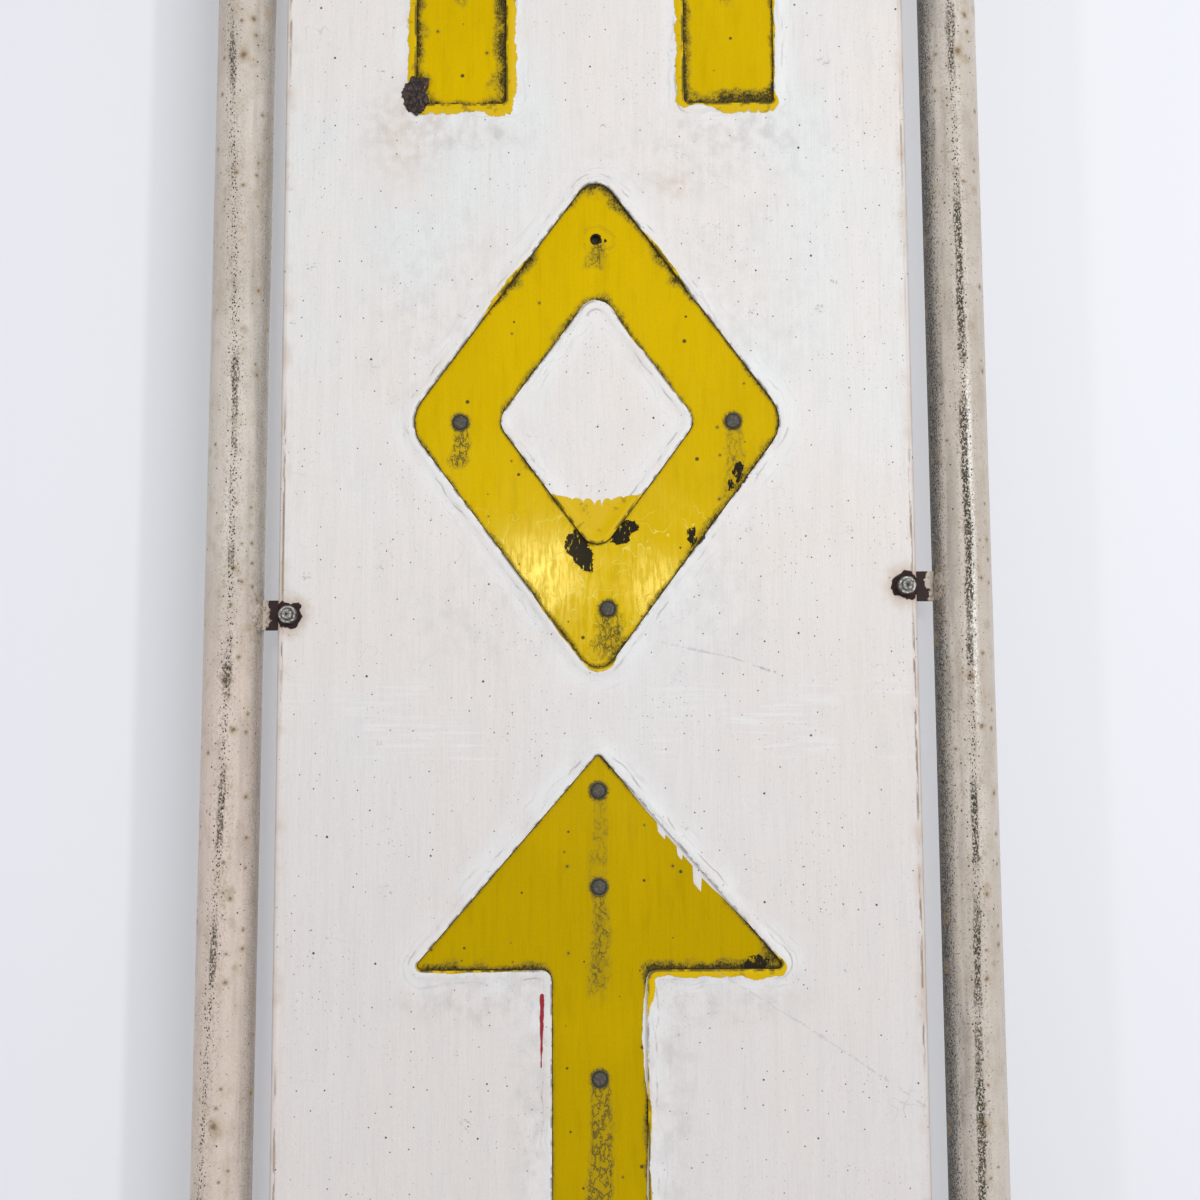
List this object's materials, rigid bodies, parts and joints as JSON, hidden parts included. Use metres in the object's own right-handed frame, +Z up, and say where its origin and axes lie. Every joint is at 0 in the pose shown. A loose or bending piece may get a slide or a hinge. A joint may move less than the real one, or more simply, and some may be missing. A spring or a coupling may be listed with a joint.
{
  "type": "projecting hotel sign",
  "caption": "Tall double-faced painted steel sign that stands out from a wall on a round tube frame, with recessed yellow shapes in white sheets.",
  "frame": {"origin": "middle of the lower wall plate's back, where it meets the wall", "axes": "+Z up along the sign, +X out from the wall along the arms, the front face looks towards -Y"},
  "size_m": [0.58, 0.1, 1.9807],
  "materials": {
    "tube_paint": "weathered cream paint on steel tube",
    "white_paint": "brushed white paint, aged",
    "yellow_enamel": "glossy yellow enamel with grime",
    "core_steel": "dull bare steel",
    "zinc": "zinc plated steel",
    "rivet_metal": "tarnished rivet",
    "rust": "blistered dark rust"
  },
  "bodies": {
    "root": {"lower_wall_plate": "tube_paint", "upper_wall_plate": "tube_paint", "lower_gusset": "tube_paint", "upper_gusset": "tube_paint", "lower_arm": "tube_paint", "upper_arm": "tube_paint", "lower_arm_cap": "tube_paint", "upper_arm_cap": "tube_paint", "left_upright": "tube_paint", "right_upright": "tube_paint", "left_tabs": "tube_paint", "right_tabs": "tube_paint", "front_face": "white_paint", "back_face": "white_paint", "core_sheet": "core_steel", "front_house_plate": "yellow_enamel", "front_lozenge_plate": "yellow_enamel", "front_arrow_plate": "yellow_enamel", "front_star_plate": "yellow_enamel", "front_key_plate": "yellow_enamel", "back_house_plate": "yellow_enamel", "back_lozenge_plate": "yellow_enamel", "back_arrow_plate": "yellow_enamel", "back_star_plate": "yellow_enamel", "back_key_plate": "yellow_enamel", "front_lozenge_island": "white_paint", "back_lozenge_island": "white_paint", "front_key_island": "white_paint", "back_key_island": "white_paint", "house_rivets": "rivet_metal", "lozenge_rivets": "rivet_metal", "arrow_rivets": "rivet_metal", "star_rivets": "rivet_metal", "key_rivets": "rivet_metal", "island_rivets": "white_paint", "panel_bolts": "zinc", "panel_nuts": "zinc", "panel_washers": "zinc"}
  },
  "joints": []
}
